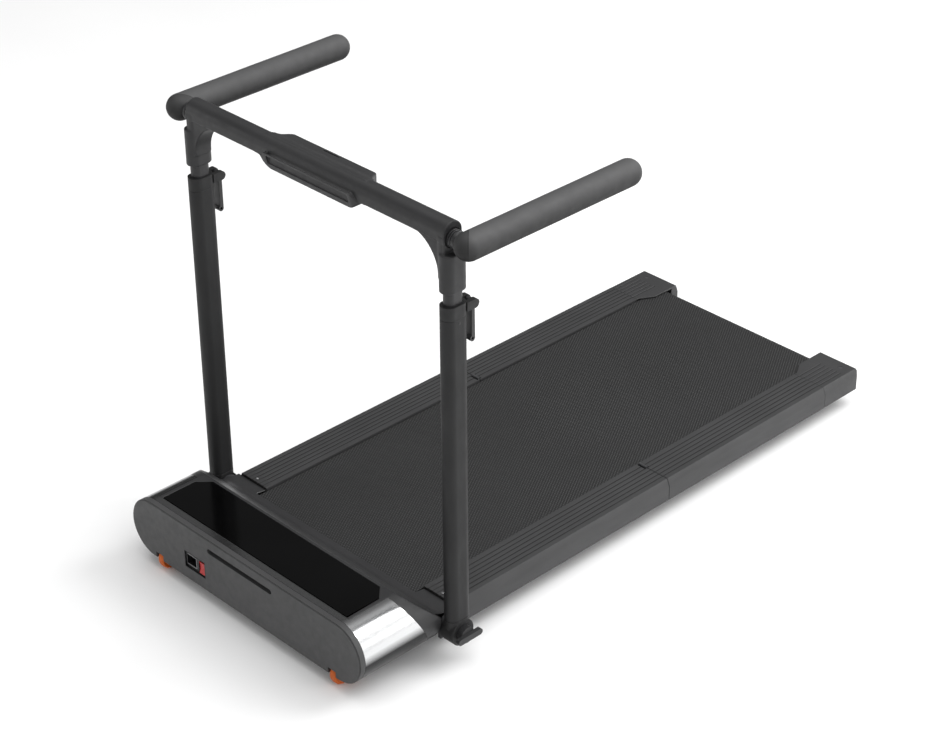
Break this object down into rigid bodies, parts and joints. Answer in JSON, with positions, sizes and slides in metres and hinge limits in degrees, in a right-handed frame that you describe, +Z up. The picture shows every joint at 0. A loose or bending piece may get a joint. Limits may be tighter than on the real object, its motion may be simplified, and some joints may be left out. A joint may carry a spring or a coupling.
{
  "type": "treadmill",
  "caption": "Folding walking and running pad: flat deck that folds at the middle, low motor head, fold-down height-adjustable mast with a crossbar, device ledge and padded grips.",
  "frame": {"origin": "on the floor, under the middle of the footprint", "axes": "+Z up, -Y towards the motor head (the way the walker faces), +Y towards the rear, +X towards the walker's left"},
  "size_m": [0.841, 1.492, 0.9284],
  "materials": {
    "frame_steel": "semi-gloss black powder coat",
    "deck_board": "black phenolic-faced plywood",
    "black_rubber": "matte",
    "rail_plastic": "fine matte grain",
    "cap_plastic": "fine matte grain",
    "pan_plastic": "coarse matte grain",
    "hood_plastic": "satin black",
    "polished_trim": "polished, faintly brushed lengthwise",
    "fascia_plastic": "matte dark grey",
    "panel_glass": "high gloss black",
    "circuit_board": "green solder mask",
    "inlet_plastic": "satin black",
    "motor_steel": "zinc plated",
    "drive_rubber": "matte",
    "running_belt": "fine diamond-textured PVC",
    "bright_steel": "turned steel",
    "mast_paint": "fine-texture black powder coat",
    "collar_plastic": "matte grain",
    "inner_tube_metal": "satin black anodised",
    "bar_plastic": "soft-touch matte",
    "console_plastic": "soft-touch matte",
    "grip_foam": "smooth closed-cell foam",
    "lever_plastic": "matte grain",
    "wheel_orange": "satin orange polyurethane",
    "switch_red": "gloss red"
  },
  "bodies": {
    "base": {"front_frame": "frame_steel", "front_board": "deck_board", "front_cushions": "black_rubber", "rail_front_left": "rail_plastic", "rail_front_right": "rail_plastic", "belly_pan": "pan_plastic", "hood": "hood_plastic", "trim_skin": "polished_trim", "front_fascia": "fascia_plastic", "display_panel": "panel_glass", "display_board": "circuit_board", "inlet_socket": "inlet_plastic", "motor_case": "motor_steel", "motor_bracket": "frame_steel", "controller_board": "circuit_board", "drive_belt": "drive_rubber", "belt_front": "running_belt", "front_feet": "black_rubber", "front_axle": "bright_steel", "wheel_axles": "bright_steel", "pivot_brackets": "frame_steel", "front_screws": "frame_steel", "front_hinges": "frame_steel"},
    "rear_deck": {"rear_frame": "frame_steel", "rear_board": "deck_board", "rear_cushions": "black_rubber", "rail_rear_left": "rail_plastic", "rail_rear_right": "rail_plastic", "end_cap_left": "cap_plastic", "end_cap_right": "cap_plastic", "belt_rear": "running_belt", "rear_axle": "bright_steel", "tension_bolts": "bright_steel", "rear_feet": "black_rubber", "rear_screws": "frame_steel", "rear_hinges": "frame_steel"},
    "mast": {"upright_left": "mast_paint", "upright_right": "mast_paint", "mast_feet": "mast_paint", "collar_left": "collar_plastic", "collar_right": "collar_plastic"},
    "mast_top": {"inner_tubes": "inner_tube_metal", "crossbar": "bar_plastic", "console_pod": "console_plastic", "device_fence": "console_plastic"},
    "grip_left": {"grip_pad_left": "grip_foam", "grip_core_left": "frame_steel"},
    "grip_right": {"grip_pad_right": "grip_foam", "grip_core_right": "frame_steel"},
    "lever_left": {"lever_left": "lever_plastic"},
    "lever_right": {"lever_right": "lever_plastic"},
    "knob_left": {"knob_left": "lever_plastic"},
    "knob_right": {"knob_right": "lever_plastic"},
    "wheel_left": {"wheel_left": "wheel_orange"},
    "wheel_right": {"wheel_right": "wheel_orange"},
    "drive_roller": {"front_roller": "bright_steel"},
    "idle_roller": {"rear_roller": "bright_steel"},
    "rotor": {"motor_rotor": "bright_steel"},
    "switch": {"power_rocker": "switch_red"}
  },
  "joints": [
    {"name": "deck_fold", "type": "hinge", "parent": "base", "child": "rear_deck", "pos_m": [0, 0.12, 0.089], "axis": [1, 0, 0], "range_deg": [0, 180]},
    {"name": "mast_fold", "type": "hinge", "parent": "base", "child": "mast", "pos_m": [0, -0.511, 0.062], "axis": [-1, 0, 0], "range_deg": [0, 85]},
    {"name": "height_slide", "type": "slide", "parent": "mast", "child": "mast_top", "axis": [0, 0, 1], "range_m": [-0.02, 0.1]},
    {"name": "grip_left_fold", "type": "hinge", "parent": "mast_top", "child": "grip_left", "pos_m": [0.353, -0.511, 0.8965], "axis": [-1, 0, 0], "range_deg": [0, 90]},
    {"name": "grip_right_fold", "type": "hinge", "parent": "mast_top", "child": "grip_right", "pos_m": [-0.353, -0.511, 0.8965], "axis": [-1, 0, 0], "range_deg": [0, 90]},
    {"name": "lever_left_swing", "type": "hinge", "parent": "mast", "child": "lever_left", "pos_m": [0.35, -0.471, 0.757], "axis": [1, 0, 0], "range_deg": [0, 105]},
    {"name": "lever_right_swing", "type": "hinge", "parent": "mast", "child": "lever_right", "pos_m": [-0.35, -0.471, 0.757], "axis": [1, 0, 0], "range_deg": [0, 105]},
    {"name": "knob_left_turn", "type": "hinge", "parent": "base", "child": "knob_left", "pos_m": [0.375, -0.511, 0.062], "axis": [1, 0, 0], "continuous": true},
    {"name": "knob_right_turn", "type": "hinge", "parent": "base", "child": "knob_right", "pos_m": [-0.375, -0.511, 0.062], "axis": [1, 0, 0], "continuous": true},
    {"name": "wheel_left_spin", "type": "hinge", "parent": "base", "child": "wheel_left", "pos_m": [0.259, -0.722, 0.0255], "axis": [1, 0, 0], "continuous": true},
    {"name": "wheel_right_spin", "type": "hinge", "parent": "base", "child": "wheel_right", "pos_m": [-0.259, -0.722, 0.0255], "axis": [1, 0, 0], "continuous": true},
    {"name": "drive_roller_spin", "type": "hinge", "parent": "base", "child": "drive_roller", "pos_m": [0, -0.548, 0.0636], "axis": [1, 0, 0], "continuous": true},
    {"name": "idle_roller_spin", "type": "hinge", "parent": "rear_deck", "child": "idle_roller", "pos_m": [0, 0.7, 0.0636], "axis": [1, 0, 0], "continuous": true},
    {"name": "rotor_spin", "type": "hinge", "parent": "base", "child": "rotor", "pos_m": [-0.15, -0.67, 0.08], "axis": [1, 0, 0], "continuous": true},
    {"name": "power_switch", "type": "hinge", "parent": "base", "child": "switch", "pos_m": [-0.1225, -0.734, 0.076], "axis": [1, 0, 0], "range_deg": [-6, 6]}
  ],
  "couplings": [
    {"joint": "grip_left_fold", "follows": "mast_fold", "ratio": 1.0588},
    {"joint": "grip_right_fold", "follows": "mast_fold", "ratio": 1.0588},
    {"joint": "idle_roller_spin", "follows": "drive_roller_spin", "ratio": 1},
    {"joint": "rotor_spin", "follows": "drive_roller_spin", "ratio": 1.8571}
  ]
}
